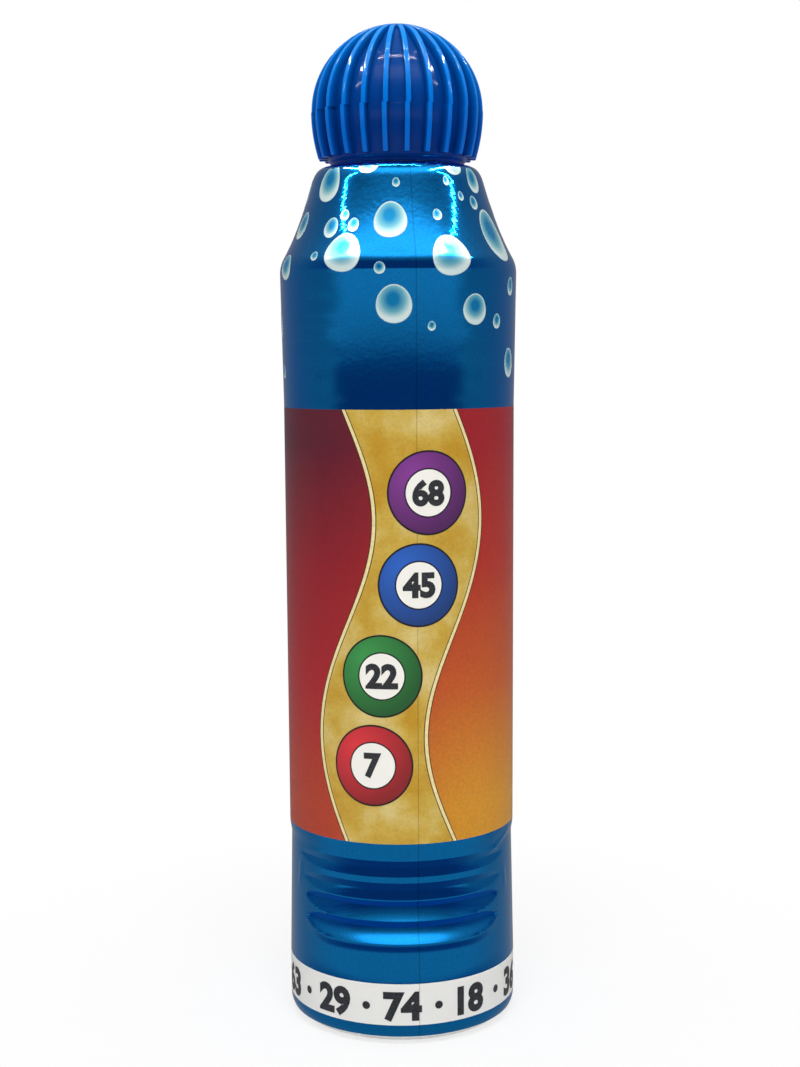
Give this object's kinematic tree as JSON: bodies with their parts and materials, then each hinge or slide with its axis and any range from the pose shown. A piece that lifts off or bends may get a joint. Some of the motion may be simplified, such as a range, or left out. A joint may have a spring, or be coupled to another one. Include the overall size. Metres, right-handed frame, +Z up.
{
  "type": "bingo dauber",
  "caption": "Round sleeved ink bottle with a sprung foam dabber tip under a ribbed ball-shaped screw cap, for stamping round ink marks on bingo sheets.",
  "frame": {"origin": "middle of the base, on the surface that the bottle stands on", "axes": "+Z up along the bottle, cap at the top; -Y is the front of the label"},
  "size_m": [0.0388, 0.0388, 0.165],
  "materials": {
    "bottle_white": "blow-moulded white polyethylene, satin",
    "sleeve_film": "printed metallic blue shrink film, glossy",
    "ink": "blue water-based ink",
    "valve_plastic": "moulded natural polypropylene",
    "spring_steel": "drawn stainless spring wire",
    "stem_plastic": "moulded acetal",
    "gasket_rubber": "black rubber",
    "tip_foam": "open-cell foam",
    "tip_cloth": "fine knitted polyester",
    "liner_foam": "expanded polyethylene",
    "cap_blue": "injection-moulded blue polypropylene, glossy"
  },
  "bodies": {
    "bottle": {"bottle": "bottle_white", "shrink_sleeve": "sleeve_film", "ink_fill": "ink", "valve_housing": "valve_plastic", "spring_retainer": "valve_plastic", "valve_spring": "spring_steel"},
    "tip": {"valve_stem": "stem_plastic", "valve_gasket": "gasket_rubber", "tip_plate": "stem_plastic", "tip_clamp_ring": "valve_plastic", "foam_tip": "tip_foam", "tip_cover": "tip_cloth"},
    "cap_seal": {"cap_liner": "liner_foam"},
    "cap": {"cap_shell": "cap_blue"}
  },
  "joints": [
    {"name": "tip_press", "type": "slide", "parent": "bottle", "child": "tip", "axis": [0, 0, -1], "range_m": [0, 0.0022], "stiffness_N_per_m": 900, "springref_m": -0.003, "deforming": ["valve_spring"]},
    {"name": "cap_rise", "type": "slide", "parent": "bottle", "child": "cap_seal", "axis": [0, 0, 1], "range_m": [0, 0.0256]},
    {"name": "cap_turn", "type": "hinge", "parent": "cap_seal", "child": "cap", "pos_m": [0, 0, 0.15], "axis": [0, 0, 1], "range_deg": [0, 2880]}
  ],
  "couplings": [
    {"joint": "cap_turn", "follows": "cap_rise", "rad_per_m": 1963.5}
  ]
}
